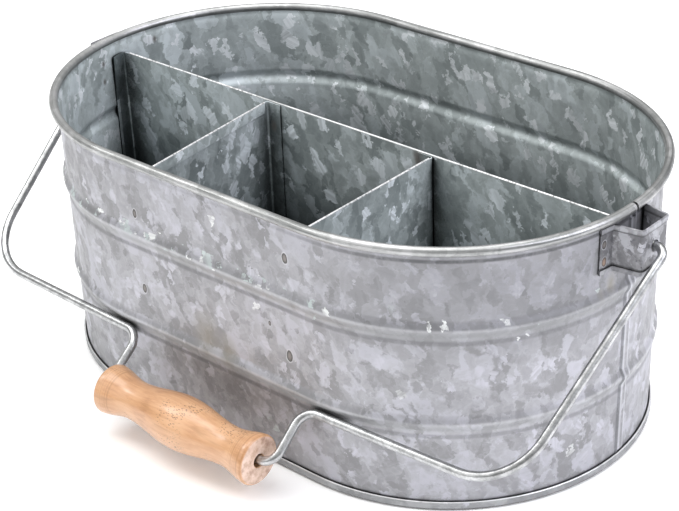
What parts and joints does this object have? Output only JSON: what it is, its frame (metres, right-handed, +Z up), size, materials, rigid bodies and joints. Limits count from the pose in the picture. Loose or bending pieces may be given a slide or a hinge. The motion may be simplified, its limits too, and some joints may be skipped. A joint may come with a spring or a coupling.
{
  "type": "galvanized caddy",
  "caption": "Oval tapered galvanized sheet-metal caddy with front cells, a long back cell and a swinging wire bail that carries a turned wooden grip.",
  "frame": {"origin": "middle of the flat underside of the bottom pan", "axes": "+X along the tub's length, -Y towards the side where the bail hangs, +Z up"},
  "size_m": [0.369, 0.2476, 0.1405],
  "materials": {
    "galvanized_sheet": "hot-dip galvanized, matt spangle",
    "zinc_wire": "galvanized drawn wire, satin",
    "turned_wood": "turned and clear varnished"
  },
  "bodies": {
    "tub": {"body_wall": "galvanized_sheet", "bottom_pan": "galvanized_sheet", "long_divider": "galvanized_sheet", "cross_divider_left": "galvanized_sheet", "cross_divider_right": "galvanized_sheet", "ear_left": "galvanized_sheet", "ear_right": "galvanized_sheet"},
    "bail": {"bail_wire": "zinc_wire"},
    "grip": {"grip": "turned_wood"}
  },
  "joints": [
    {"name": "bail_hinge", "type": "hinge", "parent": "tub", "child": "bail", "pos_m": [0, 0, 0.1229], "axis": [-1, 0, 0], "range_deg": [0, 256.2]},
    {"name": "grip_spin", "type": "hinge", "parent": "bail", "child": "grip", "pos_m": [0, -0.12737, 0.02223], "axis": [1, 0, 0], "continuous": true}
  ]
}
